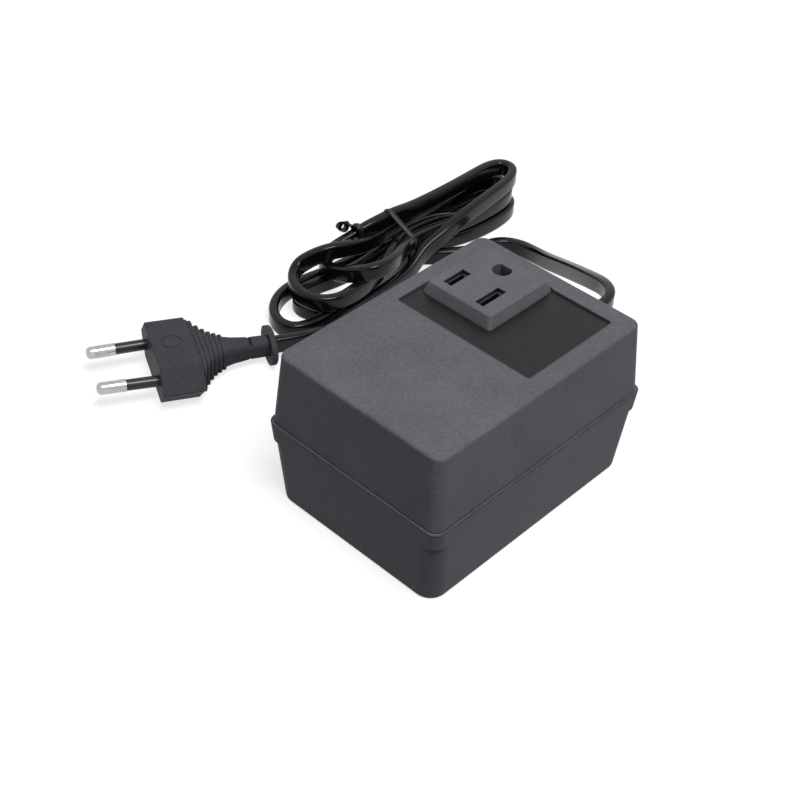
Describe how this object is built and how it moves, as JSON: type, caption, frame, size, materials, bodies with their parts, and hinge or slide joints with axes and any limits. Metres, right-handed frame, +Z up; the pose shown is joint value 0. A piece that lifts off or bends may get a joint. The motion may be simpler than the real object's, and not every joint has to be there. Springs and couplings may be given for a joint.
{
  "type": "travel voltage converter",
  "caption": "Boxy travel voltage converter with a flat blade socket on top and a flat cord, tied in a hank, that ends in a slim round-pin plug.",
  "frame": {"origin": "centre of the case's base, on the surface that it stands on", "axes": "+X along the case towards the end that the cord leaves, +Y towards the side where the hank lies, +Z up"},
  "size_m": [0.1809, 0.1457, 0.0556],
  "materials": {
    "case_plastic": "fine grained",
    "socket_plastic": "satin",
    "label_film": "gloss",
    "cord_pvc": "satin",
    "plug_pvc": "satin",
    "nickel": "polished",
    "sleeve_plastic": "satin",
    "tie_plastic": "satin",
    "screw_steel": "zinc plated",
    "contact_brass": "bright",
    "core_steel": "varnished",
    "bobbin_nylon": "natural",
    "winding_copper": "enamelled copper",
    "tape_film": "yellow film",
    "wire_plastic": "coloured"
  },
  "bodies": {
    "root": {"lower_shell": "case_plastic", "upper_shell": "case_plastic", "rating_label": "label_film", "socket_insert": "socket_plastic", "socket_back": "socket_plastic", "socket_screw": "screw_steel", "contact_line": "contact_brass", "contact_neutral": "contact_brass", "case_screws": "screw_steel", "core_e": "core_steel", "core_i": "core_steel", "bobbin": "bobbin_nylon", "winding": "winding_copper", "winding_tape": "tape_film", "bobbin_tags": "contact_brass", "thermal_fuse": "screw_steel", "supply_wire_line": "wire_plastic", "supply_wire_neutral": "wire_plastic", "output_wire_line": "wire_plastic", "output_wire_neutral": "wire_plastic", "strain_relief": "plug_pvc", "cord_lead": "cord_pvc", "cord_hank": "cord_pvc", "cord_tail": "cord_pvc", "twist_tie": "tie_plastic", "plug_body": "plug_pvc", "pin_line": "nickel", "pin_neutral": "nickel", "pin_sleeves": "sleeve_plastic"}
  },
  "joints": []
}
